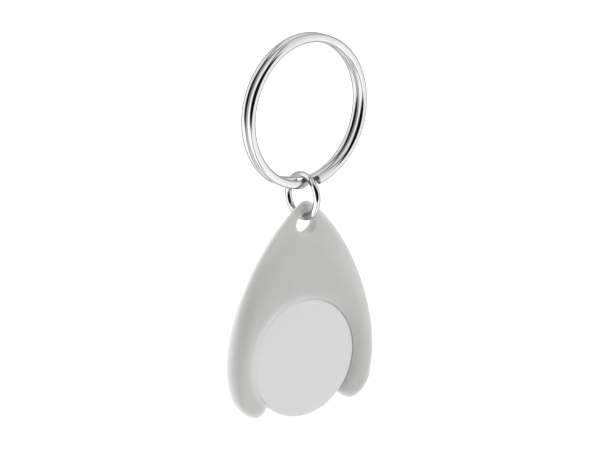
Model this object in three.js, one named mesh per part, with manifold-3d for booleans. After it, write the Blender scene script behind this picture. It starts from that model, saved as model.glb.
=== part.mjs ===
// A trolley coin keyring. A moulded holder grips a coin-sized token between two arms, and a jump ring
// joins the holder's eye to a split ring of two turns.
// Lengths are in millimetres and +Z is up. The token and the holder face -Y, and the origin is the hang
// point, which is the inside of the split ring's top.

import * as THREE from 'three';
import Module from 'manifold-3d';
import { mergeVertices } from 'three/addons/utils/BufferGeometryUtils.js';

// Split ring
const splitRingDiameter = 29.6;
const splitWireWidth = 1.72;
const splitWireThickness = 1.12;
const splitWireEdge = 0.27;
const splitLayerGap = 0.46;
const splitCrossingLength = 5;
const splitEndShare = 0.94;
const splitSteps = 132;

// Jump ring
const jumpRingBore = 6.9;
const jumpWireDiameter = 1.3;
const jumpSlitWidth = 0.15;
const jumpRingPlay = 0.2;
const jumpSteps = 44;
const jumpSides = 12;

// Token
const tokenDiameter = 23.25;
const tokenThickness = 2.33;
const tokenRimRadius = 0.4;
const tokenSegments = 72;

// Holder
const holderThickness = 4;
const armWidth = 5.03;
const armSplay = 0.35;
const armShoulder = 2.5;
const armFootReach = 11.2;
const armFootDrop = 10.15;
const armOuterHandle = 1.7;
const armInnerHandle = 1.35;
const armTipShoulder = 1.2;
const crownHeight = 19.2;
const crownShoulder = 5.5;
const seatShoulder = 1.7;
const tipRadius = 2.3;
const seatPlay = 0.2;

// Eye in the holder's crown
const bridgeHeight = 2.4;
const bridgePlay = 0.2;
const eyeWidth = 4.4;
const eyeHeight = 2.95;
const eyeFlare = 0.7;
const eyeSides = 36;

// Distance that a cutting tool runs past the face it cuts
const overrun = 1;

// Angles in degrees
const ringTurnAngle = 5.5;
const jumpSlitAngle = 32;
const tipArcAngle = 53.2;
const armOuterEndAngle = 117;
const armInnerEndAngle = 131;

// Reach of the curve that joins the arm to the tip, at its lower and upper end, of the crown's height
const lowerHandleShare = 0.567;
const upperHandleShare = 0.567;

// Where the flank's wide shoulder starts and ends above the token's centre, of the crown's height
const shoulderStartShare = 0;
const shoulderEndShare = 1;

// Rim of the holder from its edge inwards: how far in, of the shoulder, and how thick, of the full half
const armRimShares = [[0, 0], [0.04, 0.29], [0.15, 0.54], [0.36, 0.78], [0.66, 0.95], [1, 1]];
const crownRimShares = [[0, 0], [0.02, 0.22], [0.08, 0.4], [0.18, 0.5], [0.5, 0.78], [1, 1]];
const seatRimShares = [[0, 0], [0.02, 0.5], [0.12, 0.74], [0.4, 0.92], [1, 1]];

// Extra places across the holder's wide part, of the distance between its two shoulders
const middleShares = [0.12, 0.3, 0.55, 0.8];

// Half thickness of the crown round the eye, of the holder's full half
const eyeLipShare = 0.8;

// Counts of places along the holder's outline, on each half
const tipSteps = 4;
const flankSteps = 24;
const armSteps = 8;
const armEndSteps = 6;

// Colours
const chromeMaterial = { color: 0xc8c9cb, roughness: 0.12, metalness: 1 };
const holderMaterial = { color: 0xe2e2e2, roughness: 0.38, metalness: 0 };
const tokenMaterial = { color: 0xf2f2f2, roughness: 0.32, metalness: 0 };

// Sizes that follow from the ones above
const splitMeanRadius = (splitRingDiameter - splitWireWidth) / 2;
const splitBoreRadius = splitRingDiameter / 2 - splitWireWidth;
const splitLayerOffset = (splitWireThickness + splitLayerGap) / 2;
const splitCrossingAngle = Math.asin(splitCrossingLength / 2 / splitMeanRadius);
const jumpMeanRadius = (jumpRingBore + jumpWireDiameter) / 2;
const seatRadius = tokenDiameter / 2 + seatPlay;
const armOuterRadius = seatRadius + armWidth;
const crownRise = seatRadius + crownHeight;
const halfThickness = holderThickness / 2;

// Heights, down from the hang point
const splitCentreZ = -splitBoreRadius;
const strandTopZ = splitCentreZ - splitBoreRadius;
const jumpCentreZ = strandTopZ + jumpRingPlay - jumpRingBore / 2;
const bridgeBottomZ = jumpCentreZ - jumpRingBore / 2 + bridgePlay;
const tokenCentreZ = bridgeBottomZ + bridgeHeight - crownRise;

const radians = THREE.MathUtils.degToRad;
const { lerp, smoothstep } = THREE.MathUtils;

// Path of the split ring's wire. The front turn starts beside the bottom, runs up the right side and
// over the top, crosses behind its own start at the bottom, and the back turn follows it round.
class SplitRingPath extends THREE.Curve {
  constructor() {
    super();
    this.arcLengthDivisions = splitSteps * 4;
  }

  angleAt(t) {
    const start = splitCrossingAngle * splitEndShare;
    return lerp(start, Math.PI * 4 - start, t);
  }

  crossingAt(angle) {
    return smoothstep(angle, Math.PI * 2 - splitCrossingAngle, Math.PI * 2 + splitCrossingAngle);
  }

  getPoint(t, target = new THREE.Vector3()) {
    const angle = this.angleAt(t);
    const y = lerp(-splitLayerOffset, splitLayerOffset, this.crossingAt(angle));
    return target.set(Math.sin(angle) * splitMeanRadius, y, -Math.cos(angle) * splitMeanRadius);
  }

  // The wire's flat sides stay square to the ring's radius, and lean only where it crosses over
  computeFrenetFrames(segments) {
    const frames = { tangents: [], normals: [], binormals: [] };
    for (let step = 0; step <= segments; step += 1) {
      const t = this.getUtoTmapping(step / segments);
      const angle = this.angleAt(t);
      const tangent = this.getTangent(t);
      const outward = new THREE.Vector3(Math.sin(angle), 0, -Math.cos(angle));
      frames.tangents.push(tangent);
      frames.normals.push(new THREE.Vector3().crossVectors(outward, tangent).normalize());
      frames.binormals.push(outward);
    }
    return frames;
  }
}

// Section of the split ring's wire: a flat bar with its four edges taken off
function splitWireSection() {
  const x = splitWireThickness / 2;
  const y = splitWireWidth / 2;
  const edge = splitWireEdge;
  return new THREE.Shape([
    new THREE.Vector2(x, y - edge),
    new THREE.Vector2(x - edge, y),
    new THREE.Vector2(edge - x, y),
    new THREE.Vector2(-x, y - edge),
    new THREE.Vector2(-x, edge - y),
    new THREE.Vector2(edge - x, -y),
    new THREE.Vector2(x - edge, -y),
    new THREE.Vector2(x, edge - y),
  ]);
}

// Least distance between the surface points of the front turn and those of the back turn
function leastSplitRingGap() {
  const path = new SplitRingPath();
  const points = path.getSpacedPoints(splitSteps);
  const frames = path.computeFrenetFrames(splitSteps);
  const section = splitWireSection().getPoints();
  const rings = points.map((point, step) => section.map((corner) => point.clone()
    .addScaledVector(frames.normals[step], corner.x)
    .addScaledVector(frames.binormals[step], corner.y)));
  const apart = Math.round(splitSteps / 4);
  let least = Infinity;
  for (let first = 0; first + apart <= splitSteps; first += 1) {
    for (let second = first + apart; second <= splitSteps; second += 1) {
      for (const one of rings[first]) {
        for (const other of rings[second]) {
          least = Math.min(least, one.distanceTo(other));
        }
      }
    }
  }
  return least;
}

function splitRingGeometry() {
  return new THREE.ExtrudeGeometry(splitWireSection(), {
    steps: splitSteps,
    bevelEnabled: false,
    extrudePath: new SplitRingPath(),
  });
}

// Path of the jump ring's wire, in the plane square to the split ring, open by the width of its slit
class JumpRingPath extends THREE.Curve {
  getPoint(t, target = new THREE.Vector3()) {
    const halfSlit = jumpSlitWidth / 2 / jumpMeanRadius;
    const start = radians(jumpSlitAngle) + halfSlit;
    const angle = lerp(start, start + Math.PI * 2 - halfSlit * 2, t);
    return target.set(0, Math.sin(angle) * jumpMeanRadius, -Math.cos(angle) * jumpMeanRadius);
  }
}

function jumpRingGeometry() {
  const section = new THREE.Shape();
  section.absarc(0, 0, jumpWireDiameter / 2, 0, Math.PI * 2);
  return new THREE.ExtrudeGeometry(new THREE.Shape(section.getSpacedPoints(jumpSides).slice(0, jumpSides)), {
    steps: jumpSteps,
    bevelEnabled: false,
    extrudePath: new JumpRingPath(),
  });
}

// Token: a plain disc with rounded rims, turned about Y
function tokenGeometry() {
  const radius = tokenDiameter / 2;
  const half = tokenThickness / 2;
  const profile = new THREE.Path();
  profile.moveTo(0, -half);
  profile.lineTo(radius - tokenRimRadius, -half);
  profile.absarc(radius - tokenRimRadius, tokenRimRadius - half, tokenRimRadius, -Math.PI / 2, 0);
  profile.lineTo(radius, half - tokenRimRadius);
  profile.absarc(radius - tokenRimRadius, half - tokenRimRadius, tokenRimRadius, 0, Math.PI / 2);
  profile.lineTo(0, half);
  return new THREE.LatheGeometry(profile.getPoints(2), tokenSegments);
}

// Outline of one half of the holder, from the tip down to the end of its arm. Each entry pairs a place
// on the outside with the place facing it on the seat; x points away from the middle.
function outlinePairs() {
  const pairs = [];
  const seatAt = (angle) => new THREE.Vector2(Math.sin(angle), Math.cos(angle)).multiplyScalar(seatRadius);
  const outerAt = (angle, splay) => new THREE.Vector2(Math.sin(angle), Math.cos(angle))
    .multiplyScalar(armOuterRadius + splay);
  const pair = (outer) => pairs.push([outer, seatAt(Math.atan2(outer.x, outer.y))]);

  const tipCentre = new THREE.Vector2(0, crownRise - tipRadius);
  const tipNormal = new THREE.Vector2(Math.cos(radians(tipArcAngle)), Math.sin(radians(tipArcAngle)));
  for (let step = 0; step < tipSteps; step += 1) {
    const angle = lerp(Math.PI / 2, radians(tipArcAngle), step / tipSteps);
    const normal = new THREE.Vector2(Math.cos(angle), Math.sin(angle));
    pair(tipCentre.clone().addScaledVector(normal, tipRadius));
  }

  const tipEnd = tipCentre.clone().addScaledVector(tipNormal, tipRadius);
  const downFlank = new THREE.Vector2(tipNormal.y, -tipNormal.x);
  const flank = new THREE.CubicBezierCurve(
    tipEnd,
    tipEnd.clone().addScaledVector(downFlank, crownHeight * upperHandleShare),
    new THREE.Vector2(armOuterRadius, crownHeight * lowerHandleShare),
    new THREE.Vector2(armOuterRadius, 0),
  );
  flank.getSpacedPoints(flankSteps).forEach(pair);

  const outerEnd = radians(armOuterEndAngle);
  const innerEnd = radians(armInnerEndAngle);
  for (let step = 1; step <= armSteps; step += 1) {
    const share = step / armSteps;
    pairs.push([
      outerAt(lerp(Math.PI / 2, outerEnd, share), armSplay * share ** 2),
      seatAt(lerp(Math.PI / 2, innerEnd, share)),
    ]);
  }

  const foot = new THREE.Vector2(armFootReach, -armFootDrop);
  const endCurve = (from, angle, handle, side) => new THREE.CubicBezierCurve(
    from,
    from.clone().add(new THREE.Vector2(Math.cos(angle), -Math.sin(angle)).multiplyScalar(handle)),
    foot.clone().add(new THREE.Vector2(handle * side, 0)),
    foot,
  );
  const outerCurve = endCurve(outerAt(outerEnd, armSplay), outerEnd, armOuterHandle, 1);
  const innerCurve = endCurve(seatAt(innerEnd), innerEnd, armInnerHandle, -1);
  for (let step = 1; step <= armEndSteps; step += 1) {
    pairs.push([outerCurve.getPoint(step / armEndSteps), innerCurve.getPoint(step / armEndSteps)]);
  }
  return pairs;
}

// Distance from a place to a chain of straight lines
function distanceToChain(place, chain) {
  const nearest = new THREE.Vector3();
  const line = new THREE.Line3();
  const from = new THREE.Vector3(place.x, place.y, 0);
  let least = Infinity;
  for (let index = 1; index < chain.length; index += 1) {
    line.start.set(chain[index - 1].x, chain[index - 1].y, 0);
    line.end.set(chain[index].x, chain[index].y, 0);
    line.closestPointToPoint(from, true, nearest);
    least = Math.min(least, nearest.distanceTo(from));
  }
  return least;
}

// Share of the full half thickness at a distance from the edge
function rimShare(shares, shoulder, distance) {
  const reach = Math.min(distance / shoulder, 1);
  const next = Math.max(shares.findIndex((entry) => entry[0] >= reach), 1);
  const [startReach, startRise] = shares[next - 1];
  const [endReach, endRise] = shares[next];
  return lerp(startRise, endRise, (reach - startReach) / (endReach - startReach));
}

// Places from the outside to the seat, as distances along the line that joins a pair
function placesAcross(length) {
  const shrink = Math.min(length / armWidth, 1);
  const outer = armRimShares.map((entry) => entry[0] * armShoulder * shrink);
  const inner = seatRimShares.map((entry) => length - entry[0] * seatShoulder * shrink).reverse();
  const start = armShoulder * shrink;
  const end = length - seatShoulder * shrink;
  return [...outer, ...middleShares.map((share) => lerp(start, end, share)), ...inner];
}

// Closed surface through rings of points; a ring of one point closes an end
function skin(rings) {
  const positions = rings.flat().flatMap((point) => point.toArray());
  const starts = [];
  let total = 0;
  for (const ring of rings) {
    starts.push(total);
    total += ring.length;
  }
  const indices = [];
  for (let row = 1; row < rings.length; row += 1) {
    const lower = rings[row - 1].length;
    const upper = rings[row].length;
    const count = Math.max(lower, upper);
    for (let column = 0; column < count; column += 1) {
      const next = (column + 1) % count;
      const a = starts[row - 1] + (column % lower);
      const b = starts[row - 1] + (next % lower);
      const c = starts[row] + (next % upper);
      const d = starts[row] + (column % upper);
      if (a !== b) {
        indices.push(a, b, c);
      }
      if (c !== d) {
        indices.push(a, c, d);
      }
    }
  }
  const geometry = new THREE.BufferGeometry();
  geometry.setAttribute('position', new THREE.Float32BufferAttribute(positions, 3));
  geometry.setIndex(indices);
  return geometry;
}

// Holder before its eye is cut. Its thickness at each place follows from how far the place is from the
// outside, where the shoulder widens from the arms to the crown, and from the seat.
function holderBlank() {
  const half = outlinePairs();
  const mirror = (place) => new THREE.Vector2(-place.x, place.y);
  const left = half.slice(1).reverse().map(([outer, seat]) => [mirror(outer), mirror(seat)]);
  const pairs = [...left, ...half];
  const body = pairs.slice(armEndSteps, pairs.length - armEndSteps);
  const seatChain = body.map((entry) => entry[1]);
  const outerChain = body.map((entry) => entry[0]);
  const endChains = [pairs.slice(0, armEndSteps + 1), pairs.slice(pairs.length - armEndSteps - 1).reverse()]
    .map((end) => [...end.map((entry) => entry[0]).reverse(), ...end.map((entry) => entry[1])]);

  const rings = pairs.map(([outer, seat]) => {
    const length = outer.distanceTo(seat);
    if (length === 0) {
      return [new THREE.Vector3(outer.x, 0, outer.y)];
    }
    const places = placesAcross(length).map((distance) => outer.clone().lerp(seat, distance / length));
    const depths = places.map((place) => {
      const fromOutside = distanceToChain(place, outerChain);
      const fromSeat = distanceToChain(place, seatChain);
      const crown = smoothstep(place.y, crownHeight * shoulderStartShare, crownHeight * shoulderEndShare);
      const outside = lerp(
        rimShare(armRimShares, armShoulder, fromOutside),
        rimShare(crownRimShares, crownShoulder, fromOutside),
        crown,
      );
      const ends = endChains.map((chain) => rimShare(armRimShares, armTipShoulder, distanceToChain(place, chain)));
      return halfThickness * Math.min(outside, rimShare(seatRimShares, seatShoulder, fromSeat), ...ends);
    });
    const last = places.length - 1;
    const at = (index, side) => new THREE.Vector3(places[index].x, depths[index] * side, places[index].y);
    const inside = places.map((place, index) => index).slice(1, last);
    return [
      new THREE.Vector3(places[0].x, 0, places[0].y),
      ...inside.map((index) => at(index, -1)),
      new THREE.Vector3(places[last].x, 0, places[last].y),
      ...inside.reverse().map((index) => at(index, 1)),
    ];
  });
  return skin(rings);
}

// Tool that cuts the eye: an oval that opens out towards both faces of the crown
function eyeCutter() {
  const lip = halfThickness * eyeLipShare;
  const centre = crownRise - bridgeHeight - eyeHeight / 2;
  const levels = [[0, 0]];
  for (let step = 1; step <= 4; step += 1) {
    const angle = (Math.PI / 2) * (step / 4);
    levels.push([lip - eyeFlare + Math.sin(angle) * eyeFlare, (1 - Math.cos(angle)) * eyeFlare]);
  }
  levels.push([halfThickness + overrun, eyeFlare]);
  const bothSides = [...levels.slice(1).reverse().map(([y, grow]) => [-y, grow]), ...levels];
  const ringAt = ([y, grow]) => Array.from({ length: eyeSides }, (unused, index) => {
    const angle = (Math.PI * 2 * index) / eyeSides;
    return new THREE.Vector3(
      Math.sin(angle) * (eyeWidth / 2 + grow),
      y,
      centre + Math.cos(angle) * (eyeHeight / 2 + grow),
    );
  });
  const end = halfThickness + overrun;
  return skin([
    [new THREE.Vector3(0, -end, centre)],
    ...bothSides.map(ringAt),
    [new THREE.Vector3(0, end, centre)],
  ]);
}

const wasm = await Module();
wasm.setup();

function toSolid(geometry) {
  const merged = geometry.clone();
  merged.deleteAttribute('normal');
  merged.deleteAttribute('uv');
  const welded = mergeVertices(merged);
  return new wasm.Manifold(new wasm.Mesh({
    numProp: 3,
    vertProperties: new Float32Array(welded.attributes.position.array),
    triVerts: new Uint32Array(welded.index.array),
  }));
}

function toGeometry(solid) {
  const mesh = solid.getMesh();
  const geometry = new THREE.BufferGeometry();
  geometry.setAttribute('position', new THREE.BufferAttribute(mesh.vertProperties, 3));
  geometry.setIndex(new THREE.BufferAttribute(mesh.triVerts, 1));
  geometry.computeVertexNormals();
  return geometry;
}

function namedMesh(name, geometry, look) {
  const mesh = new THREE.Mesh(geometry, new THREE.MeshStandardMaterial(look));
  mesh.name = name;
  return mesh;
}

const splitRing = namedMesh('split_ring', splitRingGeometry(), chromeMaterial);
splitRing.position.z = splitCentreZ;

const jumpRing = namedMesh('jump_ring', jumpRingGeometry(), chromeMaterial);
jumpRing.position.z = jumpCentreZ;

const rings = new THREE.Group();
rings.rotation.z = radians(ringTurnAngle);
rings.add(splitRing, jumpRing);

const holderSolid = toSolid(holderBlank()).subtract(toSolid(eyeCutter()));
const holder = namedMesh('coin_holder', toGeometry(holderSolid), holderMaterial);
holder.position.z = tokenCentreZ;

const token = namedMesh('trolley_coin', tokenGeometry(), tokenMaterial);
token.position.z = tokenCentreZ;

const keyring = new THREE.Group();
keyring.add(rings, holder, token);

console.log(`Least gap of the split ring to itself: ${leastSplitRingGap().toFixed(3)} mm`);

export default keyring;
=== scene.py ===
import logging
import math
from dataclasses import dataclass, field
from enum import Enum
from typing import NamedTuple

import bmesh
import bpy
import numpy as np
from mathutils import Matrix, Vector
from mathutils.geometry import delaunay_2d_cdt


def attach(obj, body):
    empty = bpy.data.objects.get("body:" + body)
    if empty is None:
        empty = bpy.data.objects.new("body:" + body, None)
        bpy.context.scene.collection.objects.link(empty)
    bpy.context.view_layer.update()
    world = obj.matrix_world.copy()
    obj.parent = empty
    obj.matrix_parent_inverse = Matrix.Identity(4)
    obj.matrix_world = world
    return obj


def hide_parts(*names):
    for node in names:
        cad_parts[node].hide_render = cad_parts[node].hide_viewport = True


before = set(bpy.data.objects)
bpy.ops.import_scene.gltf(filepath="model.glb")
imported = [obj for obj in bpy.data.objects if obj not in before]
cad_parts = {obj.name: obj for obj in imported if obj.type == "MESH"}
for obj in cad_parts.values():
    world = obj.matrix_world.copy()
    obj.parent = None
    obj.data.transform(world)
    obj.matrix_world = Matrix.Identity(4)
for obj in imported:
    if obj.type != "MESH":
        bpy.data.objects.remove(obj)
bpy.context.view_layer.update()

MM = 0.001
QUARTER_TURN = math.pi / 2

# The photograph's width in pixels
PHOTO_WIDTH = 600

# A noise texture's values lie mostly between these two
NOISE_RANGE = (0.3, 0.7)

# Places that are compared with a line at once, so that the arrays stay small
CHUNK = 2000

# A distance in millimetres that stands for far from the eye, and one below which two places are the same
FAR_FROM_EYE = 9.0
SAME_PLACE = 1e-5

Inputs = dict[str | int, object]
Array = np.ndarray
Number = float | Array
Pair = tuple[float, float]
Faces = list[tuple[int, ...]]
Piece = bpy.types.Object
Material = bpy.types.Material
Node = bpy.types.Node
Tree = bpy.types.NodeTree
Socket = bpy.types.NodeSocket

log = logging.getLogger("keyring")


class Body(Enum):
    """The bodies that the pieces ride on."""

    KEY_RING = "key_ring"
    LINK = "link"
    HOLDER = "holder"
    TOKEN = "token"


class GlossFrom(Enum):
    """Which of a finish's textures its gloss varies with."""

    PATCHES = "patches"
    GRAIN = "grain"


# Node helpers


def linear(hex_colour: str) -> tuple[float, float, float, float]:
    """Turns an sRGB colour into the linear one that a shader takes.

    Args:
        hex_colour: Six hex digits, with or without a leading #.

    Returns:
        Red, green, blue and an alpha of 1.
    """
    digits = hex_colour.lstrip("#")
    values = [int(digits[start : start + 2], 16) / 255 for start in (0, 2, 4)]
    red, green, blue = [v / 12.92 if v <= 0.04045 else ((v + 0.055) / 1.055) ** 2.4 for v in values]
    return red, green, blue, 1.0


def set_inputs(tree: Tree, node: Node, inputs: Inputs) -> None:
    """Sets a node's inputs, and links those that are given a socket.

    Args:
        tree: The node's tree.
        node: The node.
        inputs: A value or a socket for each input, by name or number.
    """
    for key, value in inputs.items():
        if isinstance(value, Socket):
            tree.links.new(value, node.inputs[key])
        else:
            node.inputs[key].default_value = value


def add_node(tree: Tree, kind: str, inputs: Inputs | None = None, **settings: object) -> Node:
    """Adds a node, sets it and links it.

    Args:
        tree: The tree.
        kind: The node's type name.
        inputs: A value or a socket for each input, by name or number.
        settings: The node's own properties.

    Returns:
        The new node.
    """
    node = tree.nodes.new(kind)
    for name, value in settings.items():
        setattr(node, name, value)
    set_inputs(tree, node, inputs or {})
    return node


def first_output(tree: Tree, kind: str, inputs: Inputs, **settings: object) -> Socket:
    """Adds a node as add_node does, and gives its first output."""
    return add_node(tree, kind, inputs, **settings).outputs[0]


def remap(tree: Tree, value: Socket, given: Pair, wanted: tuple, eased: bool = False) -> Socket:
    """Maps a range of values onto another range, and holds what lies outside at its ends.

    Args:
        tree: The tree.
        value: The value to map.
        given: The ends of its range.
        wanted: What they become, as numbers or sockets.
        eased: Whether the change starts and ends level.

    Returns:
        The mapped value.
    """
    ends = {"From Min": given[0], "From Max": given[1], "To Min": wanted[0], "To Max": wanted[1]}
    change = "SMOOTHSTEP" if eased else "LINEAR"
    return first_output(tree, "ShaderNodeMapRange", {"Value": value, **ends}, interpolation_type=change)


def noise(tree: Tree, place: Socket, size_mm: float, detail: float, swirl: float = 0.0) -> Socket:
    """Adds a noise texture.

    Args:
        tree: The tree.
        place: Where on the piece it is read.
        size_mm: How large its patches are.
        detail: How many finer layers lie on them.
        swirl: How far they are drawn out of shape.

    Returns:
        The texture's value.
    """
    inputs = {"Vector": place, "Scale": 1 / (size_mm * MM), "Detail": detail, "Distortion": swirl}
    return first_output(tree, "ShaderNodeTexNoise", inputs)


# Finishes


def plain_material(name: str, inputs: Inputs) -> Material:
    """Makes a material.

    Args:
        name: Its name.
        inputs: The shader inputs that are the same all over it.

    Returns:
        The material.
    """
    material = bpy.data.materials.new(name)
    material.use_nodes = True
    tree = material.node_tree
    set_inputs(tree, tree.nodes["Principled BSDF"], inputs)
    return material


@dataclass(frozen=True, kw_only=True)
class Finish:
    """A surface with soft patches of tone and a fine grain, both sized in the piece's own space."""

    name: str
    tones: tuple[str, str]
    patch_mm: float
    patch_detail: float
    patch_swirl: float = 0.0
    roughness: float
    roughness_shares: Pair
    gloss_from: GlossFrom
    grain_mm: float
    grain_detail: float
    grain_height_mm: float
    grain_strength: float
    metallic: float = 0.0

    def constants(self) -> Inputs:
        """Gives the shader inputs that are the same all over the surface."""
        return {"Metallic": self.metallic}

    def build(self) -> Material:
        """Builds the material.

        Returns:
            The finished material.
        """
        material = plain_material(self.name, self.constants())
        tree = material.node_tree
        place = add_node(tree, "ShaderNodeTexCoord").outputs["Object"]
        patches = noise(tree, place, self.patch_mm, self.patch_detail, self.patch_swirl)
        grain = noise(tree, place, self.grain_mm, self.grain_detail)
        # A colour mix takes its colours by socket number, and gives the third output
        tones = {"Factor": patches, 6: linear(self.tones[0]), 7: linear(self.tones[1])}
        tone = add_node(tree, "ShaderNodeMix", tones, data_type="RGBA").outputs[2]
        worn = patches if self.gloss_from is GlossFrom.PATCHES else grain
        smoothest, roughest = (self.roughness * share for share in self.roughness_shares)
        lines = {"Height": grain, "Distance": self.grain_height_mm * MM, "Strength": self.grain_strength}
        bump = first_output(tree, "ShaderNodeBump", lines)
        inputs = {
            "Base Color": tone,
            "Roughness": remap(tree, worn, NOISE_RANGE, (smoothest, roughest)),
            "Normal": bump,
        }
        set_inputs(tree, tree.nodes["Principled BSDF"], inputs)
        return material


@dataclass(frozen=True, kw_only=True)
class MouldedPlastic(Finish):
    """Injection-moulded plastic with a satin skin, light inside it and clouds where the melt flowed."""

    patch_mm: float = 11.0
    patch_detail: float = 2.0
    patch_swirl: float = 0.6
    roughness_shares: Pair = (0.9, 1.12)
    gloss_from: GlossFrom = GlossFrom.GRAIN
    grain_detail: float = 4.0
    grain_strength: float = 0.4
    ior: float
    inner_light: float
    light_depth_mm: float
    light_depth_shares: tuple[float, float, float] = (1.0, 0.96, 0.92)

    def constants(self) -> Inputs:
        """Sets the plastic's refraction, and how far red, green and blue light go into it."""
        return {
            "IOR": self.ior,
            "Subsurface Weight": self.inner_light,
            "Subsurface Scale": self.light_depth_mm * MM,
            "Subsurface Radius": self.light_depth_shares,
        }


# Bright nickel on spring steel wire: a mirror that handling polishes in patches, with faint drawing lines
NICKEL_PLATED_STEEL = Finish(
    name="bright_nickel_plated_steel",
    tones=("aeaeaf", "acacac"),
    patch_mm=4.0,
    patch_detail=3.0,
    roughness=0.09,
    roughness_shares=(0.7, 1.35),
    gloss_from=GlossFrom.PATCHES,
    grain_mm=0.25,
    grain_detail=2.0,
    grain_height_mm=0.0015,
    grain_strength=0.35,
    metallic=1.0,
)

# Natural polypropylene is milky: light goes about two millimetres into it, so it looks greyer than the token
MILKY_POLYPROPYLENE = MouldedPlastic(
    name="natural_polypropylene",
    tones=("cececd", "d5d5d4"),
    roughness=0.4,
    ior=1.49,
    inner_light=1.0,
    light_depth_mm=2.1,
    grain_mm=0.5,
    grain_height_mm=0.006,
)

# White ABS is opaque with pigment, so it is the brightest piece and keeps crisp edges
WHITE_ABS = MouldedPlastic(
    name="white_abs",
    tones=("f8f8f7", "fbfbfa"),
    roughness=0.34,
    ior=1.53,
    inner_light=0.3,
    light_depth_mm=0.6,
    grain_mm=0.6,
    grain_height_mm=0.004,
)


# Mesh helpers


def add_mesh(name: str, points: Array, edges: list[tuple[int, int]], faces: Faces) -> Piece:
    """Makes an object from points in millimetres.

    Args:
        name: The object's name.
        points: One row of x, y and z for each point.
        edges: Point numbers of each edge that no face has.
        faces: Point numbers of each face.

    Returns:
        The object, at the origin, with its place in its mesh.
    """
    mesh = bpy.data.meshes.new(name)
    mesh.from_pydata((points * MM).tolist(), edges, faces)
    mesh.update()
    piece = bpy.data.objects.new(name, mesh)
    bpy.context.scene.collection.objects.link(piece)
    return piece


def close_up(piece: Piece) -> None:
    """Drops a piece's loose points, turns its faces outwards and warns of edges that are left open.

    Args:
        piece: The piece.
    """
    work = bmesh.new()
    work.from_mesh(piece.data)
    bmesh.ops.delete(work, geom=[v for v in work.verts if not v.link_faces], context="VERTS")
    bmesh.ops.recalc_face_normals(work, faces=work.faces)
    open_edges = sum(1 for edge in work.edges if len(edge.link_faces) != 2)
    if open_edges:
        log.warning("%s has %d open edges", piece.name, open_edges)
    work.to_mesh(piece.data)
    work.free()
    piece.data.update()


def join_body(piece: Piece, node: str, body: Body, crease_degrees: float | None = None) -> None:
    """Lights a piece smoothly, puts it on its body in place of a CAD node, and reports it.

    Args:
        piece: The piece.
        node: The CAD node that the piece replaces, which is hidden.
        body: The body.
        crease_degrees: The angle between two faces that makes their edge sharp, or None for a smooth piece.
    """
    piece.data.shade_smooth()
    if crease_degrees is not None:
        piece.data.set_sharp_from_angle(angle=math.radians(crease_degrees))
    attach(piece, body.value)
    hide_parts(node)
    log.info("%s: %d faces on %s", piece.name, len(piece.data.polygons), body.value)


# Geometry trees


def bake_tree(name: str, points: Array, tree: Tree, values: Inputs) -> Piece:
    """Runs a node tree on a chain of edges and keeps the result as a plain mesh.

    Args:
        name: The name of the object.
        points: The chain's points, in rows of x, y and z.
        tree: The geometry tree.
        values: A value for each of the tree's named inputs.

    Returns:
        The object, with the plain mesh and no modifier.
    """
    piece = add_mesh(name, points, [(index, index + 1) for index in range(len(points) - 1)], [])
    modifier = piece.modifiers.new(tree.name, "NODES")
    modifier.node_group = tree
    for socket in tree.interface.items_tree:
        if socket.in_out == "INPUT" and socket.name in values:
            modifier[socket.identifier] = values[socket.name]
    graph = bpy.context.evaluated_depsgraph_get()
    made = bpy.data.meshes.new_from_object(piece.evaluated_get(graph))
    made.name = name
    piece.modifiers.remove(modifier)
    piece.data = made
    return piece


def start_tree(name: str, sockets: dict[str, str]) -> tuple[Tree, dict[str, Socket]]:
    """Starts a geometry tree with its inputs and its one output.

    Args:
        name: The tree's name.
        sockets: The type of each input of its own, by name.

    Returns:
        The tree, and the sockets of all its inputs, by name.
    """
    tree = bpy.data.node_groups.new(name, "GeometryNodeTree")
    shared = {"Turn": "Vector", "Place": "Vector", "Finish": "Material"}
    for label, kind in {"Geometry": "Geometry", **sockets, **shared}.items():
        tree.interface.new_socket(label, in_out="INPUT", socket_type=f"NodeSocket{kind}")
    tree.interface.new_socket("Geometry", in_out="OUTPUT", socket_type="NodeSocketGeometry")
    group_input = add_node(tree, "NodeGroupInput")
    return tree, {socket.name: socket for socket in group_input.outputs if socket.name}


def end_tree(tree: Tree, given: dict[str, Socket], geometry: Socket) -> None:
    """Stands a tree's geometry up, turns and places it, makes it real and dresses it.

    Args:
        tree: The tree.
        given: The sockets of all its inputs, by name.
        geometry: What it has made, with its axis along Z.
    """
    upright = {"Geometry": geometry, "Rotation": (QUARTER_TURN, 0.0, 0.0)}
    stood = first_output(tree, "GeometryNodeTransform", upright)
    placing = {"Geometry": stood, "Rotation": given["Turn"], "Translation": given["Place"]}
    placed = first_output(tree, "GeometryNodeTransform", placing)
    real = first_output(tree, "GeometryNodeRealizeInstances", {"Geometry": placed})
    dressed = first_output(tree, "GeometryNodeSetMaterial", {"Geometry": real, "Material": given["Finish"]})
    add_node(tree, "NodeGroupOutput", {0: dressed})


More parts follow.
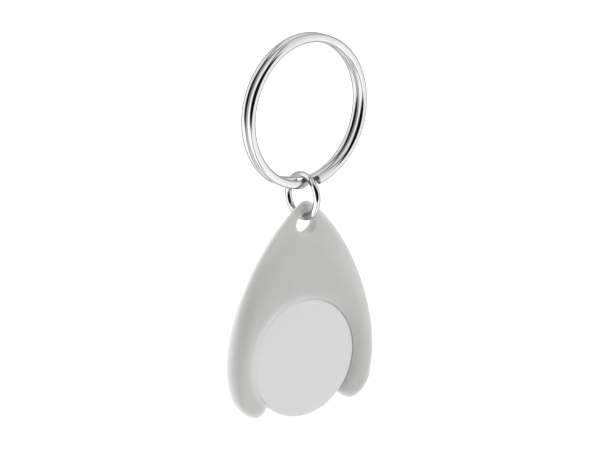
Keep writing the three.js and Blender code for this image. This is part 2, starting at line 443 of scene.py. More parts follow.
def wire_tree() -> Tree:
    """Builds the tree that draws a wire of rounded section along a ring's path.

    Returns:
        The tree. Its path lies flat, with the ring's axis along Z.
    """
    sizes = {"Across": "Float", "Along Axis": "Float", "Edge Radius": "Float", "Edge Steps": "Int"}
    tree, given = start_tree("wire_along_ring", sizes)
    path = first_output(tree, "GeometryNodeMeshToCurve", {"Mesh": given["Geometry"]})
    held = first_output(tree, "GeometryNodeSetCurveNormal", {"Curve": path}, mode="Z_UP")
    sides = {"Width": given["Across"], "Height": given["Along Axis"]}
    bar = first_output(tree, "GeometryNodeCurvePrimitiveQuadrilateral", sides, mode="RECTANGLE")
    section = first_output(
        tree,
        "GeometryNodeFilletCurve",
        {"Curve": bar, "Count": given["Edge Steps"], "Radius": given["Edge Radius"], "Limit Radius": True},
        mode="POLY",
    )
    sweep = {"Curve": held, "Profile Curve": section, "Fill Caps": True}
    wire = first_output(tree, "GeometryNodeCurveToMesh", sweep)
    end_tree(tree, given, wire)
    return tree


def lathe_tree() -> Tree:
    """Builds the tree that turns a profile about its axis.

    Returns:
        The tree. Its profile is drawn from the rim's circle, x outwards and y along the axis.
    """
    tree, given = start_tree("turned_disc", {"Radius": "Float", "Sides": "Int", "Weld": "Float"})
    profile = first_output(tree, "GeometryNodeMeshToCurve", {"Mesh": given["Geometry"]})
    size = {"Resolution": given["Sides"], "Radius": given["Radius"]}
    rim = first_output(tree, "GeometryNodeCurvePrimitiveCircle", size)
    held = first_output(tree, "GeometryNodeSetCurveNormal", {"Curve": rim}, mode="Z_UP")
    turned = first_output(tree, "GeometryNodeCurveToMesh", {"Curve": held, "Profile Curve": profile})
    seams = {"Geometry": turned, "Distance": given["Weld"]}
    welded = first_output(tree, "GeometryNodeMergeByDistance", seams)
    end_tree(tree, given, welded)
    return tree


# Flat geometry, in rows of two numbers


def smooth_share(value: Array) -> Array:
    """Eases 0 to 1 with a level start and end, and holds the ends."""
    held = np.clip(value, 0.0, 1.0)
    return held * held * (3.0 - 2.0 * held)


def bezier(corners: list[Array], count: int) -> Array:
    """Follows a cubic curve.

    Args:
        corners: Its start, its two handles and its end.
        count: How many points to give.

    Returns:
        The points.
    """
    t = np.linspace(0, 1, count)[:, None]
    p0, p1, p2, p3 = corners
    return (1 - t) ** 3 * p0 + 3 * (1 - t) ** 2 * t * p1 + 3 * (1 - t) * t**2 * p2 + t**3 * p3


def circle(radius: Number, angles: Array) -> Array:
    """Gives points of a circle about the origin, by their clockwise angle from straight up."""
    return np.stack([np.sin(angles) * radius, np.cos(angles) * radius], axis=1)


def lengths_along(line: Array) -> Array:
    """Measures how far along an open line each of its points lies."""
    return np.concatenate([[0], np.cumsum(np.linalg.norm(np.diff(line, axis=0), axis=1))])


class EdgeLine(NamedTuple):
    """A line's points, and a row of traits for each one."""

    points: Array
    traits: Array


def nearest(places: Array, line: EdgeLine, closed: bool = True) -> tuple[Array, Array]:
    """Finds how far places are from a line, and the line's traits at the nearest point.

    Args:
        places: The places.
        line: The line.
        closed: Whether the line's end joins its start.

    Returns:
        The distances, and a row of traits for each place.
    """
    start, step = line.points, np.roll(line.points, -1, axis=0) - line.points
    if not closed:
        start, step = start[:-1], step[:-1]
    length2 = np.sum(step**2, axis=1)
    distances = np.empty(len(places))
    traits = np.empty((len(places), line.traits.shape[1]))
    after = np.roll(line.traits, -1, axis=0)
    for first in range(0, len(places), CHUNK):
        chunk = places[first : first + CHUNK]
        offset = chunk[:, None, :] - start[None]
        share = np.clip(np.sum(offset * step[None], axis=2) / length2[None], 0, 1)
        gap = np.linalg.norm(offset - share[..., None] * step[None], axis=2)
        best = np.argmin(gap, axis=1)
        rows = np.arange(len(chunk))
        distances[first : first + CHUNK] = gap[rows, best]
        along = share[rows, best][:, None]
        traits[first : first + CHUNK] = line.traits[best] * (1 - along) + after[best] * along
    return distances, traits


def gaps_to(places: Array, line: Array, closed: bool = True) -> Array:
    """Finds how far places are from a line."""
    return nearest(places, EdgeLine(line, np.zeros((len(line), 1))), closed)[0]


def inside(places: Array, loop: Array) -> Array:
    """Tells which places lie inside a closed line, by how often a ray from each one crosses it.

    Args:
        places: The places.
        loop: The line's points.

    Returns:
        True or false for each place.
    """
    x, z = places[:, 0][:, None], places[:, 1][:, None]
    x1, z1 = loop[:, 0][None], loop[:, 1][None]
    x2, z2 = np.roll(loop[:, 0], -1)[None], np.roll(loop[:, 1], -1)[None]
    crosses = (z1 > z) != (z2 > z)
    with np.errstate(divide="ignore", invalid="ignore"):
        at = (x2 - x1) * (z - z1) / (z2 - z1) + x1
    return np.sum(crosses & (x < at), axis=1) % 2 == 1


def join_rows(rows: list[list[int]]) -> Faces:
    """Joins closed rows of points by four-sided faces.

    Args:
        rows: The point numbers of each row, as many in one as in the next.

    Returns:
        The faces.
    """
    faces: Faces = []
    for row, following in zip(rows, rows[1:]):
        for index, point in enumerate(row):
            after = (index + 1) % len(row)
            faces.append((point, row[after], following[after], following[index]))
    return faces


def number_rows(start: int, count: int, rows: int) -> list[list[int]]:
    """Numbers rows of points that follow each other, as many in each."""
    return np.arange(start, start + count * rows).reshape(rows, count).tolist()


# Pieces


@dataclass
class Rings:
    """The split ring and the jump ring below it, in millimetres."""

    finish: Material
    turn_degrees: float = 5.5
    edge_steps: int = 8
    crease_degrees: float = 50.0
    split_mean_radius: float = 13.94
    split_centre_z: float = -13.08
    split_across: float = 1.72
    split_thickness: float = 1.52
    split_edge_radius: float = 0.74
    split_layer_offset: float = 0.785
    split_crossing_length: float = 4.2
    split_front_end: float = 2.9
    split_back_end: float = 1.6
    split_back_lift: float = 0.5
    split_lift_degrees: float = 28.0
    split_steps: int = 720
    jump_mean_radius: float = 4.05
    jump_centre_y: float = 0.25
    jump_centre_z: float = -29.555
    jump_wire: float = 1.36
    jump_slit: float = 0.15
    jump_slit_degrees: float = 32.0
    jump_steps: int = 160
    tree: Tree = field(default_factory=wire_tree)

    def split_path(self) -> Array:
        """Follows the split ring's two turns: the front one, a crossing at the bottom, and the back one.

        Returns:
            Points of the wire's middle, with the ring's axis along Z.
        """
        crossing = math.asin(self.split_crossing_length / 2 / self.split_mean_radius)
        first = math.asin(self.split_front_end / self.split_mean_radius)
        last = 4 * math.pi - math.asin(self.split_back_end / self.split_mean_radius)
        angle = np.linspace(first, last, self.split_steps)
        share = smooth_share((angle - (2 * math.pi - crossing)) / (2 * crossing))
        layer = self.split_layer_offset * (1 - 2 * share)
        # The back end springs inwards a little, past the front turn
        lift = math.radians(self.split_lift_degrees)
        radius = self.split_mean_radius - self.split_back_lift * smooth_share((angle - last + lift) / lift)
        return np.stack([np.sin(angle) * radius, -np.cos(angle) * radius, layer], axis=1)

    def jump_path(self) -> Array:
        """Follows the jump ring from one side of its slit round to the other.

        Returns:
            Points of the wire's middle, with the ring's axis along Z.
        """
        radius = self.jump_mean_radius
        half_slit = self.jump_slit / 2 / radius
        start = math.radians(self.jump_slit_degrees) + half_slit
        angle = np.linspace(start, start + 2 * math.pi - 2 * half_slit, self.jump_steps)
        return np.stack([np.sin(angle) * radius, -np.cos(angle) * radius, 0 * angle], axis=1)

    def build(self) -> None:
        """Makes both rings and joins them to their bodies."""
        shared = {"Edge Steps": self.edge_steps, "Finish": self.finish}
        split = bake_tree(
            "split_ring_wire",
            self.split_path(),
            self.tree,
            {
                "Across": self.split_across * MM,
                "Along Axis": self.split_thickness * MM,
                "Edge Radius": self.split_edge_radius * MM,
                "Turn": (0.0, 0.0, math.radians(self.turn_degrees)),
                "Place": (0.0, 0.0, self.split_centre_z * MM),
                **shared,
            },
        )
        jump = bake_tree(
            "jump_ring_wire",
            self.jump_path(),
            self.tree,
            {
                "Across": self.jump_wire * MM,
                "Along Axis": self.jump_wire * MM,
                "Edge Radius": self.jump_wire / 2 * MM,
                "Turn": (0.0, 0.0, math.radians(90 + self.turn_degrees)),
                "Place": (0.0, self.jump_centre_y * MM, self.jump_centre_z * MM),
                **shared,
            },
        )
        for piece, node, body in ((split, "split_ring", Body.KEY_RING), (jump, "jump_ring", Body.LINK)):
            join_body(piece, node, body, self.crease_degrees)


@dataclass
class Token:
    """The coin-sized token: a plain disc with softly rounded rims, in millimetres."""

    finish: Material
    radius: float = 11.625
    thickness: float = 2.33
    rim_width: float = 0.5
    rim_height: float = 0.2
    centre_x: float = -0.03
    centre_z: float = -61.285
    sides: int = 256
    rim_steps: int = 14
    ring_shares: tuple[float, ...] = (1.0, 0.75, 0.5, 0.25)
    weld: float = 0.001
    tree: Tree = field(default_factory=lathe_tree)

    def profile(self) -> Array:
        """Draws half of the disc's section, from the back's middle round the rim to the front's middle.

        Returns:
            The section's points, with x from the rim outwards and y along the axis.
        """
        half = self.thickness / 2
        bend = np.linspace(0, QUARTER_TURN, self.rim_steps + 1)
        faces = [(-self.radius * share, half) for share in self.ring_shares]
        rim_x = self.rim_width * (np.sin(bend) - 1)
        rim_y = half - self.rim_height * (1 - np.cos(bend))
        front = np.concatenate([faces, np.stack([rim_x, rim_y], axis=1)])
        back = front[::-1] * np.array([1.0, -1.0])
        outline = np.concatenate([front, back])
        return np.concatenate([outline, np.zeros((len(outline), 1))], axis=1)

    def build(self) -> None:
        """Makes the token and joins it to its body."""
        piece = bake_tree(
            "token_disc",
            self.profile(),
            self.tree,
            {
                "Radius": self.radius * MM,
                "Sides": self.sides,
                "Weld": self.weld * MM,
                "Place": (self.centre_x * MM, 0.0, self.centre_z * MM),
                "Finish": self.finish,
            },
        )
        close_up(piece)
        join_body(piece, "trolley_coin", Body.TOKEN)


class Traits(NamedTuple):
    """How the clip's half thickness rises from its edge, in millimetres, at one place or at many.

    An upright wall comes first, then a rounding up to a height, then a slope to the full thickness. The
    rounding is a squared oval with a power for its top and one for its foot. The bow is the share of the
    plate's curve that the edge follows.
    """

    height: Number
    width: Number
    slope: Number
    wall: Number = 0.0
    top_power: Number = 2.0
    foot_power: Number = 2.0
    bow: Number = 1.0


# The traits at the tip
TIP_TRAITS = Traits(height=0.95, width=0.95, slope=6.0)

# The traits down the flank and arm, by the height above the token's centre
FLANK_TRAITS = (
    (24.0, Traits(height=0.93, width=0.92, slope=5.5)),
    (16.2, Traits(height=0.85, width=0.95, slope=4.3)),
    (7.8, Traits(height=1.1, width=1.2, slope=2.9)),
    (1.0, Traits(height=1.4, width=1.4, slope=2.6)),
    (-5.0, Traits(height=1.6, width=1.6, slope=2.4)),
)

# The traits round the arm's end and up the seat, by the stretch that has ended and the way past its end.
# Their first three numbers are the height, the width and the slope
SEAT_TRAITS = (
    ("arm", 0.0, Traits(height=1.7, width=1.6, slope=2.2, top_power=2.1, foot_power=2.1)),
    ("outer_cap", 0.0, Traits(1.85, 1.5, 2.0, wall=0.2, top_power=2.2, foot_power=2.2, bow=0.9)),
    ("inner_cap", 0.0, Traits(2.0, 1.45, 1.8, wall=0.9, top_power=2.1, foot_power=1.4, bow=0.3)),
    ("inner_cap", 3.0, Traits(2.0, 2.3, 1.8, wall=1.28, foot_power=1.0, bow=0.0)),
    ("seat", 0.0, Traits(2.0, 2.3, 1.8, wall=1.38, foot_power=1.0, bow=0.0)),
)


@dataclass
class ClipOutline:
    """The clip seen from the front, in millimetres from the token's centre, with x to the right and z up."""

    seat_radius: float = 11.665
    arm_radius: float = 16.855
    arm_splay: float = 0.05
    crown_rise: float = 31.025
    tip_radius: float = 2.3
    tip_arc_degrees: float = 53.2
    flank_handle: float = 10.886
    arm_outer_end_degrees: float = 110.0
    arm_inner_end_degrees: float = 131.0
    foot_x: float = 10.9
    foot_z: float = -9.7
    outer_handle: float = 1.93
    inner_handle: float = 1.15
    tip_points: int = 40
    flank_points: int = 200
    arm_points: int = 120
    cap_points: int = 60
    seat_points: int = 400
    line_step: float = 0.28

    def crown(self) -> tuple[Array, Array]:
        """Draws the tip's arc and the flank that runs from it to the arm.

        Returns:
            The points of the tip, and those of the flank.
        """
        tip_end = math.radians(self.tip_arc_degrees)
        around = np.linspace(QUARTER_TURN, tip_end, self.tip_points)
        middle = np.array([0.0, self.crown_rise - self.tip_radius])
        tip = middle + np.stack([np.cos(around), np.sin(around)], axis=1) * self.tip_radius
        leaving = tip[-1] + np.array([math.sin(tip_end), -math.cos(tip_end)]) * self.flank_handle
        arriving = np.array([self.arm_radius, self.flank_handle])
        arm_start = np.array([self.arm_radius, 0.0])
        return tip, bezier([tip[-1], leaving, arriving, arm_start], self.flank_points)

    def right_line(self) -> tuple[Array, dict[str, float]]:
        """Follows the clip's edge from the tip down the right arm, round its end and up the seat.

        Returns:
            Points of the edge, and how far along it each stretch ends.
        """
        tip, flank = self.crown()
        outer_end = math.radians(self.arm_outer_end_degrees)
        inner_end = math.radians(self.arm_inner_end_degrees)
        share = np.linspace(0, 1, self.arm_points)
        arm = circle(
            self.arm_radius + self.arm_splay * share**2, QUARTER_TURN + (outer_end - QUARTER_TURN) * share
        )
        seat = circle(self.seat_radius, np.linspace(inner_end, 0, self.seat_points))
        foot = np.array([self.foot_x, self.foot_z])
        along_outer = np.array([math.cos(outer_end), -math.sin(outer_end)]) * self.outer_handle
        along_inner = np.array([math.cos(inner_end), -math.sin(inner_end)]) * self.inner_handle
        outer_cap = bezier(
            [arm[-1], arm[-1] + along_outer, foot + np.array([self.outer_handle, 0.0]), foot],
            self.cap_points,
        )
        inner_cap = bezier(
            [foot, foot - np.array([self.inner_handle, 0.0]), seat[0] + along_inner, seat[0]],
            self.cap_points,
        )
        stretches = {
            "tip": tip,
            "flank": flank[1:],
            "arm": arm[1:],
            "outer_cap": outer_cap[1:],
            "inner_cap": inner_cap[1:],
            "seat": seat[1:],
        }
        line = np.concatenate(list(stretches.values()))
        last_points = np.cumsum([len(points) for points in stretches.values()]) - 1
        return line, dict(zip(stretches, lengths_along(line)[last_points]))

    def closed_line(self) -> EdgeLine:
        """Spaces points evenly round the whole edge and gives each its traits.

        Returns:
            The edge line, which starts at the clip's crown.
        """
        line, ends = self.right_line()
        lengths = lengths_along(line)
        spaced = np.linspace(0, lengths[-1], int(round(lengths[-1] / self.line_step)) + 1)
        points = np.stack([np.interp(spaced, lengths, line[:, axis]) for axis in (0, 1)], axis=1)
        falling = lengths <= ends["arm"]
        depths = -line[falling, 1]
        table = [(0.0, *TIP_TRAITS)]
        table += [(np.interp(-height, depths, lengths[falling]), *traits) for height, traits in FLANK_TRAITS]
        table += [(ends[stretch] + past, *traits) for stretch, past, traits in SEAT_TRAITS]
        known, *columns = np.array(table).T
        traits = np.stack([np.interp(spaced, known, column) for column in columns], axis=1)
        left = points[1:-1][::-1] * np.array([-1.0, 1.0])
        return EdgeLine(np.concatenate([points, left]), np.concatenate([traits, traits[1:-1][::-1]]))


@dataclass
class EdgeBand:
    """The band of even rows of faces along the clip's edge, which follows its rounding, in millimetres."""

    rows: int = 13
    rounding_share: float = 1.15
    shallowest: float = 0.3
    deepest: float = 1.75
    trials: int = 24
    slack: float = 0.03
    longest_step: float = 0.12
    free_share: float = 0.92
    narrowing_rounds: int = 12
    narrowing_slack: float = 0.02
    smoothing_rounds: int = 30

    def depths(self, edge: EdgeLine, inwards: Array) -> Array:
        """Finds how deep the band may reach at each point, so that its rows never cross.

        Args:
            edge: The clip's edge line.
            inwards: The direction into the clip at each of its points.

        Returns:
            The depths.
        """
        depths = np.full(len(edge.points), self.shallowest)
        for trial in np.linspace(self.shallowest, self.deepest, self.trials):
            free = gaps_to(edge.points + inwards * trial, edge.points) > trial - self.slack
            depths[free & (depths > trial - self.longest_step)] = trial
        wanted = np.minimum(Traits(*edge.traits.T).width * self.rounding_share, self.deepest)
        limit = np.minimum(depths * self.free_share, wanted)
        depths = limit
        for _ in range(self.narrowing_rounds):
            around = (np.roll(depths, 1) + depths + np.roll(depths, -1)) / 3
            depths = np.minimum(depths, around + self.narrowing_slack)
        for _ in range(self.smoothing_rounds):
            depths = (np.roll(depths, 1) + depths + np.roll(depths, -1)) / 3
        return np.minimum(depths, limit)

    def places(self, edge: EdgeLine) -> list[Array]:
        """Lays the band's rows from the edge inwards, closest together at the edge.

        Args:
            edge: The clip's edge line.

        Returns:
            The places of each row.
        """
        along = np.roll(edge.points, -1, axis=0) - np.roll(edge.points, 1, axis=0)
        along /= np.linalg.norm(along, axis=1)[:, None]
        inwards = np.stack([along[:, 1], -along[:, 0]], axis=1)
        # Inwards is down at the crown, where the line starts
        if inwards[0, 1] > 0:
            inwards = -inwards
        depths = self.depths(edge, inwards)
        shares = 1 - np.cos(np.linspace(0, QUARTER_TURN, self.rows))
        return [edge.points + inwards * (depths * share)[:, None] for share in shares]


class FacePlan(NamedTuple):
    """The clip's front laid out flat.

    It holds the places, the faces, how many of the first places lie on the edge, and how far each place
    is from the eye's wall.
    """

    places: Array
    faces: Faces
    edge_count: int
    from_eye: Array


@dataclass
class CoinHolder:
    """The moulded clip, in millimetres from the token's centre, with x to the right and z up.

    Its edge is a closed line round the clip. The thickness at a place follows from how far it is from
    that line, by a rounding and a slope whose sizes change along it.
    """

    finish: Material
    outline: ClipOutline = field(default_factory=ClipOutline)
    band: EdgeBand = field(default_factory=EdgeBand)
    centre_z: float = -61.285
    half_thickness: float = 2.0
    taper_start: float = 3.0
    taper_run: float = 25.0
    tip_thickness_share: float = 0.65
    flank_blend: float = 1.6
    flank_rise: float = 2.0
    eye_z: float = 26.54
    eye_half_width: float = 2.0
    eye_half_height: float = 1.84
    eye_rounding: float = 0.6
    eye_points: int = 72
    eye_rows: int = 10
    eye_wall_rows: int = 5
    bow_middle: float = 9.5
    bow_lift: float = 0.15
    bow_share: float = 0.0018
    bow_depth: float = 4.0
    draft_start: float = -3.0
    draft_run: float = 5.0
    draft_reach: float = 2.5
    draft_across: float = 0.125
    draft_up: float = 0.19
    field_step: float = 0.5
    field_edge_share: float = 0.55
    field_eye_share: float = 0.45

    def relief(self, places: Array, edge: EdgeLine) -> tuple[Array, Array]:
        """Works out the clip's half thickness and the middle of its thickness at places inside its edge.

        Args:
            places: Rows of x and z.
            edge: The clip's edge line.

        Returns:
            The half thickness, and the y of the middle.
        """
        distance, traits = nearest(places, edge)
        near = Traits(*traits.T)
        inwards = np.clip(distance / near.width, 0, 1)
        rounding = (1 - (1 - inwards) ** near.top_power) ** (1 / near.foot_power)
        # Both flanks' slopes ease into each other near the tip
        half = len(edge.points) // 2
        right = gaps_to(places, edge.points[: half + 1], closed=False)
        left = gaps_to(places, np.concatenate([edge.points[half:], edge.points[:1]]), closed=False)
        eased = 0.5 * (right + left - np.sqrt((right - left) ** 2 + self.flank_blend**2))
        both = np.where(np.minimum(right, left) < near.slope, eased, distance)
        above_seat = places[:, 1] > self.outline.seat_radius + self.flank_rise
        reach = np.clip(np.where(above_seat, both, distance) / near.slope, 0, 1)
        rise = np.sin(reach * QUARTER_TURN)
        rounded = near.wall + (near.height - near.wall) * rounding
        thickness = rounded + (self.half_thickness - near.height) * rise
        # The plate thins towards its tip, where the eye's walls show how thick it is
        thinned = smooth_share((places[:, 1] - self.taper_start) / self.taper_run)
        thickness *= 1 - (1 - self.tip_thickness_share) * thinned
        lean = self.bow_lift - self.bow_share * (places[:, 1] - self.bow_middle) ** 2
        middle = lean * near.bow * (1 - smooth_share(distance / self.bow_depth))
        return thickness, middle

    def eye_ring(self, grow: float) -> Array:
        """Gives points of the eye's oval.

        Args:
            grow: How far the oval is grown.

        Returns:
            The points, clockwise from its top.
        """
        angle = np.arange(self.eye_points) * 2 * math.pi / self.eye_points
        across = np.sin(angle) * (self.eye_half_width + grow)
        up = self.eye_z + np.cos(angle) * (self.eye_half_height + grow)
        return np.stack([across, up], axis=1)

    def plan(self, edge: EdgeLine) -> FacePlan:
        """Lays out the clip's face: rows along its edge, rows round its eye, and a field between them.

        Args:
            edge: The clip's edge line.

        Returns:
            The plan.
        """
        edge_count = len(edge.points)
        edge_places = self.band.places(edge)
        grows = self.eye_rounding * (1 - np.cos(np.linspace(0, QUARTER_TURN, self.eye_rows)))
        eye_places = [self.eye_ring(grow) for grow in grows]
        edge_rows = number_rows(0, edge_count, len(edge_places))
        eye_start = edge_count * len(edge_places)
        eye_rows = number_rows(eye_start, self.eye_points, len(eye_places))
        middle = self.field_places(edge_places[-1], eye_places[-1])
        places = np.concatenate([*edge_places, *eye_places, middle])
        faces = join_rows(edge_rows) + join_rows(eye_rows)
        faces += self.field_faces(places, edge_rows[-1], eye_rows[-1], len(middle))
        from_eye = np.full(len(places), FAR_FROM_EYE)
        from_eye[eye_start : eye_rows[-1][-1] + 1] = np.repeat(grows, self.eye_points)
        return FacePlan(places, faces, edge_count, from_eye)

    def field_places(self, edge_loop: Array, eye_loop: Array) -> Array:
        """Spreads places evenly over the field between the rows of the edge and those of the eye.

        Args:
            edge_loop: The edge's innermost row.
            eye_loop: The eye's outermost row.

        Returns:
            The places, in staggered rows.
        """
        step = self.field_step
        low, high = edge_loop.min(axis=0), edge_loop.max(axis=0)
        heights = np.arange(low[1], high[1], step * math.sqrt(3) / 2)
        spread = [
            np.array([(x, z) for x in np.arange(low[0] + step / 2 * (number % 2), high[0], step)])
            for number, z in enumerate(heights)
        ]
        places = np.concatenate(spread)
        places = places[inside(places, edge_loop) & ~inside(places, eye_loop)]
        clear = gaps_to(places, edge_loop) > step * self.field_edge_share
        clear &= gaps_to(places, eye_loop) > step * self.field_eye_share
        return places[clear]

    def field_faces(self, places: Array, edge_row: list[int], eye_row: list[int], count: int) -> Faces:
        """Fills the field between the rows of the edge and those of the eye with triangles.

        Args:
            places: All places of the plan.
            edge_row: The edge's innermost row.
            eye_row: The eye's outermost row.
            count: How many of the last places lie in the field.

        Returns:
            The triangles.
        """
        used = edge_row + eye_row + list(range(len(places) - count, len(places)))
        edges = [(i, (i + 1) % len(edge_row)) for i in range(len(edge_row))]
        edges += [(len(edge_row) + i, len(edge_row) + (i + 1) % len(eye_row)) for i in range(len(eye_row))]
        found = delaunay_2d_cdt([Vector(places[i]) for i in used], edges, [], 0, SAME_PLACE)
        known = [used[origins[0]] if origins else -1 for origins in found[3]]
        triangles = [tuple(known[v] for v in face) for face in found[2]]
        triangles = [t for t in triangles if min(t) >= 0]
        centres = np.array([places[list(t)].mean(axis=0) for t in triangles])
        keep = inside(centres, places[edge_row]) & ~inside(centres, places[eye_row])
        return [t for t, kept in zip(triangles, keep) if kept]

    def drafted(self, places: Array, depth: Array) -> Array:
        """Stands places up at a depth, with the arms' ends drafted so that they are smaller at the back.

        Args:
            places: Rows of x and z.
            depth: The y of each place.

        Returns:
            Rows of x, y and z.
        """
        x, z = places.T
        from_seat = np.hypot(x, z) - self.outline.seat_radius
        share = smooth_share((self.draft_start - z) / self.draft_run)
        share = share * smooth_share(from_seat / self.draft_reach)
        across = x - np.sign(x) * self.draft_across * share * depth
        up = z + self.draft_up * share * depth + self.centre_z
        return np.stack([across, depth, up], axis=1)

    def shell(self, edge: EdgeLine) -> tuple[Array, Faces]:
        """Makes the clip's front, its back and the wall of its eye, which together are closed.

        Args:
            edge: The clip's edge line.

        Returns:
            Rows of x, y and z, and the faces.
        """
        plan = self.plan(edge)
        thickness, middle = self.relief(plan.places, edge)
        near_eye = np.clip(plan.from_eye / self.eye_rounding, 0, 1)
        dip = self.eye_rounding * (1 - np.sqrt(1 - (1 - near_eye) ** 2))
        thickness -= dip
        thickness[: plan.edge_count] = 0
        front = self.drafted(plan.places, middle - thickness)
        back = self.drafted(plan.places, middle + thickness)
        # The back has the front's own points along the edge, where both meet
        number_back = np.arange(len(front), 2 * len(front))
        number_back[: plan.edge_count] = np.arange(plan.edge_count)
        faces = plan.faces + [tuple(number_back[list(reversed(face))].tolist()) for face in plan.faces]
        rim = np.flatnonzero(plan.from_eye == 0)
        shares = np.arange(1, self.eye_wall_rows) / self.eye_wall_rows
        wall = [front[rim] * (1 - share) + back[rim] * share for share in shares]
        wall_rows = number_rows(2 * len(front), len(rim), len(wall))
        faces += join_rows([rim.tolist(), *wall_rows, number_back[rim].tolist()])
        return np.concatenate([front, back, *wall]), faces

    def build(self) -> None:
        """Makes the clip and joins it to its body."""
        points, faces = self.shell(self.outline.closed_line())
        piece = add_mesh("coin_clip", points, [], faces)
        close_up(piece)
        piece.data.materials.append(self.finish)
        join_body(piece, "coin_holder", Body.HOLDER)


# Studio


@dataclass(frozen=True)
class WhitePaper:
    """Matt white paper with a little light of its own, which keeps the floor pale."""

    name: str = "white_paper_sweep"
    colour: str = "f4f4f4"
    roughness: float = 0.9
    glow: float = 0.35

    def build(self) -> Material:
        """Builds the material.

        Returns:
            The finished material.
        """
        inputs = {
            "Base Color": linear(self.colour),
            "Roughness": self.roughness,
            "Emission Color": (1.0, 1.0, 1.0, 1.0),
            "Emission Strength": self.glow,
        }
        return plain_material(self.name, inputs)


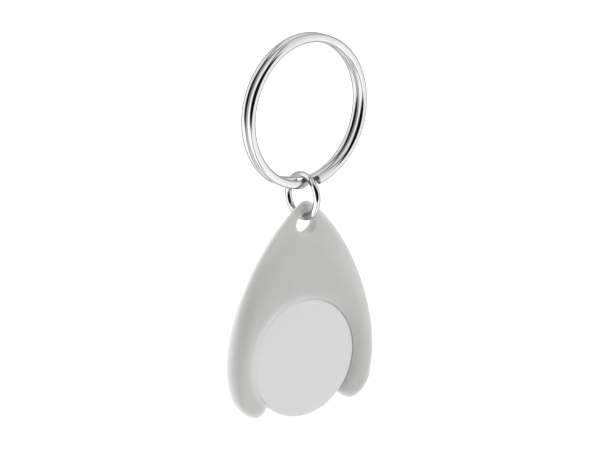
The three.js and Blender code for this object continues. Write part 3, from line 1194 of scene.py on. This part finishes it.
@dataclass
class Studio:
    """The camera, the pale floor and the soft light round the keyring, in millimetres and degrees.

    The light is a white tent. It has an opening round the camera and an upright gap through that, which
    the rings show as dark lines, and a dimmer sweep hangs behind the keyring. The shares that say where
    light changes run from -1 to 1 along a direction.
    """

    aim: tuple[float, float, float] = (-0.685, 0.0, -35.095)
    azimuth: float = -36.46
    elevation: float = 15.96
    roll: float = 1.015
    distance: float = 600.0
    focal_pixels: float = 3189.4
    sensor_width: float = 36.0
    seen_from: float = 10.0
    seen_to: float = 50000.0
    floor_z: float = -260.0
    floor_half: float = 6000.0
    opening_azimuth: float = -29.0
    opening_elevation: float = 15.0
    opening_height_share: float = 0.58
    opening_edge_degrees: Pair = (42.0, 29.0)
    opening_light: float = 0.02
    gap_shares: Pair = (0.07, 0.21)
    gap_light: float = 0.12
    gap_end_shares: Pair = (-0.15, 0.1)
    tent_light: float = 2.12
    sweep_light: float = 0.9
    sweep_shares: Pair = (-0.1, -0.5)
    left_share: float = 1.2
    right_share: float = 0.95
    table_share: float = 1.05
    ceiling_share: float = 0.75
    table_to_ceiling_shares: Pair = (-0.5, 0.7)

    def view_axes(self) -> tuple[Vector, Vector, Vector]:
        """Works out the camera's right, up and backward directions.

        Returns:
            The three unit directions.
        """
        a, e, r = (math.radians(v) for v in (self.azimuth, self.elevation, self.roll))
        right = Vector((math.cos(a), math.sin(a), 0.0))
        back = Vector((math.sin(a) * math.cos(e), -math.cos(a) * math.cos(e), math.sin(e)))
        up = back.cross(right)
        return math.cos(r) * right + math.sin(r) * up, -math.sin(r) * right + math.cos(r) * up, back

    def build(self) -> None:
        """Sets up the whole studio."""
        self.add_camera()
        self.add_floor()
        self.add_world()
        view = bpy.context.scene.view_settings
        view.view_transform = "Standard"
        view.look = "None"

    def add_camera(self) -> None:
        """Puts the camera at the photograph's viewing angle."""
        right, up, back = self.view_axes()
        data = bpy.data.cameras.new("camera")
        data.sensor_width = self.sensor_width
        data.lens = self.sensor_width * self.focal_pixels / PHOTO_WIDTH
        data.clip_start = self.seen_from * MM
        data.clip_end = self.seen_to * MM
        camera = bpy.data.objects.new("camera", data)
        bpy.context.scene.collection.objects.link(camera)
        place = (Vector(self.aim) + back * self.distance) * MM
        turn = Matrix((right, up, back)).transposed().to_4x4()
        camera.matrix_world = Matrix.Translation(place) @ turn
        bpy.context.scene.camera = camera

    def add_floor(self) -> None:
        """Lays a plain pale floor under the hanging keyring."""
        corners = np.array([(-1, -1), (1, -1), (1, 1), (-1, 1)]) * self.floor_half
        points = np.concatenate([corners, np.full((len(corners), 1), self.floor_z)], axis=1)
        floor = add_mesh("floor", points, [], [(0, 1, 2, 3)])
        floor.data.materials.append(WhitePaper().build())
        # The tent lights the keyring from all round, so only the camera sees the floor
        floor.visible_diffuse = False
        floor.visible_glossy = False

    def tent(self, tree: Tree, direction: Socket) -> Socket:
        """Lights the tent's cloth, its opening and the sweep behind.

        Args:
            tree: The world's nodes.
            direction: The direction of a ray, with the opening's middle along -Y.

        Returns:
            The light from that direction.
        """
        # The opening is wider than it is high
        narrowing = {0: direction, 1: (self.opening_height_share, 1.0, 1.0)}
        squeezed = first_output(tree, "ShaderNodeVectorMath", narrowing, operation="MULTIPLY")
        unit = first_output(tree, "ShaderNodeVectorMath", {0: squeezed}, operation="NORMALIZE")
        ahead = {0: unit, 1: (0.0, -1.0, 0.0)}
        facing = add_node(tree, "ShaderNodeVectorMath", ahead, operation="DOT_PRODUCT").outputs["Value"]
        limits = tuple(math.cos(math.radians(degrees)) for degrees in self.opening_edge_degrees)
        cloth = remap(tree, facing, limits, (self.tent_light, self.opening_light), eased=True)
        return remap(tree, facing, self.sweep_shares, (cloth, self.sweep_light), eased=True)

    def gap(self, tree: Tree, sides: bpy.types.NodeOutputs) -> Socket:
        """Darkens an upright gap between the tent's two front cloths.

        Args:
            tree: The world's nodes.
            sides: The parts of a ray's direction, by axis, with the opening's middle along -Y.

        Returns:
            The share of the light that is left.
        """
        off_middle = first_output(tree, "ShaderNodeMath", {0: sides["X"]}, operation="ABSOLUTE")
        cloth = remap(tree, off_middle, self.gap_shares, (self.gap_light, 1.0), eased=True)
        rear = remap(tree, sides["Y"], self.gap_end_shares, (0.0, 1.0))
        return first_output(tree, "ShaderNodeMath", {0: cloth, 1: rear}, operation="MAXIMUM")

    def add_world(self) -> None:
        """Surrounds the keyring with the tent, brighter on the left and near the table."""
        world = bpy.data.worlds.new("light_tent")
        bpy.context.scene.world = world
        world.use_nodes = True
        tree = world.node_tree
        direction = add_node(tree, "ShaderNodeTexCoord").outputs["Generated"]
        height = add_node(tree, "ShaderNodeSeparateXYZ", {0: direction}).outputs["Z"]
        # The opening's middle is turned to lie along -Y
        for angle, axis in ((-self.opening_azimuth, "Z_AXIS"), (self.opening_elevation, "X_AXIS")):
            turn = {"Vector": direction, "Angle": math.radians(angle)}
            direction = first_output(tree, "ShaderNodeVectorRotate", turn, rotation_type=axis)
        sides = add_node(tree, "ShaderNodeSeparateXYZ", {0: direction}).outputs
        light = self.tent(tree, direction)
        shares = (
            remap(tree, height, self.table_to_ceiling_shares, (self.table_share, self.ceiling_share)),
            remap(tree, sides["X"], (-1.0, 1.0), (self.left_share, self.right_share)),
            self.gap(tree, sides),
        )
        for share in shares:
            light = first_output(tree, "ShaderNodeMath", {0: light, 1: share}, operation="MULTIPLY")
        # The paper sweep is burnt out to plain white in the picture. A number mix has sockets 2 and 3
        seen = add_node(tree, "ShaderNodeLightPath").outputs["Is Camera Ray"]
        shown = first_output(tree, "ShaderNodeMix", {"Factor": seen, 2: light, 3: 1.0}, data_type="FLOAT")
        set_inputs(tree, tree.nodes["Background"], {"Strength": shown, "Color": (1.0, 1.0, 1.0, 1.0)})


def main() -> None:
    """Builds the studio and then the keyring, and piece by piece."""
    logging.basicConfig(level=logging.INFO, format="%(name)s: %(message)s")
    Studio().build()
    Rings(finish=NICKEL_PLATED_STEEL.build()).build()
    Token(finish=WHITE_ABS.build()).build()
    CoinHolder(finish=MILKY_POLYPROPYLENE.build()).build()


if __name__ == "__main__":
    main()
